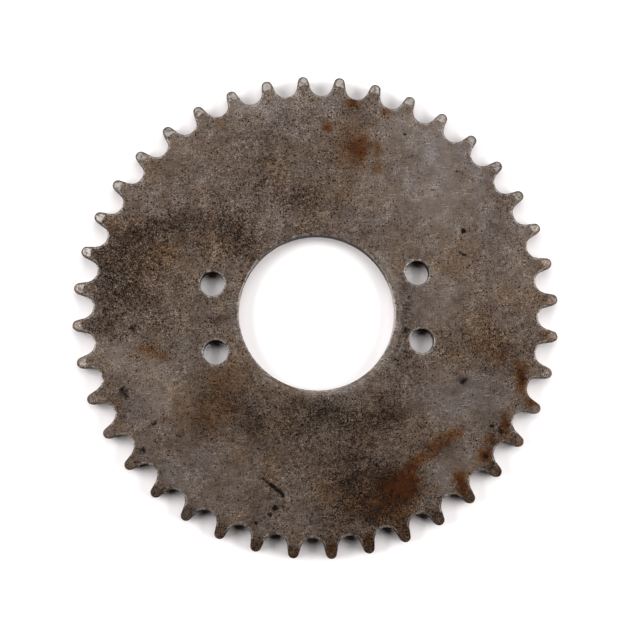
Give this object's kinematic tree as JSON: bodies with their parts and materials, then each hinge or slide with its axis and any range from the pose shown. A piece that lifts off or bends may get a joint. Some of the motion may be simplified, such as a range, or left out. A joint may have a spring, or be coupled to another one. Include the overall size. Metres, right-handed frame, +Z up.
{
  "type": "rear chain sprocket",
  "caption": "Flat steel rear chain sprocket for a motorcycle, with a large plain bore, bolt holes in two pairs beside it, and round-tipped teeth bevelled on both sides.",
  "frame": {"origin": "centre of the plate on its lower face, on the axis of the bore", "axes": "+Z up along the axis of the bore; +X along the long side of the bolt rectangle and through the middle of a tooth; +Y along its short side, also through a tooth"},
  "size_m": [0.2102, 0.2102, 0.0058],
  "materials": {
    "bare_steel": "bare mild steel with dark mill scale, fine pitting and patches of orange-brown rust"
  },
  "bodies": {
    "root": {"sprocket_plate": "bare_steel"}
  },
  "joints": []
}
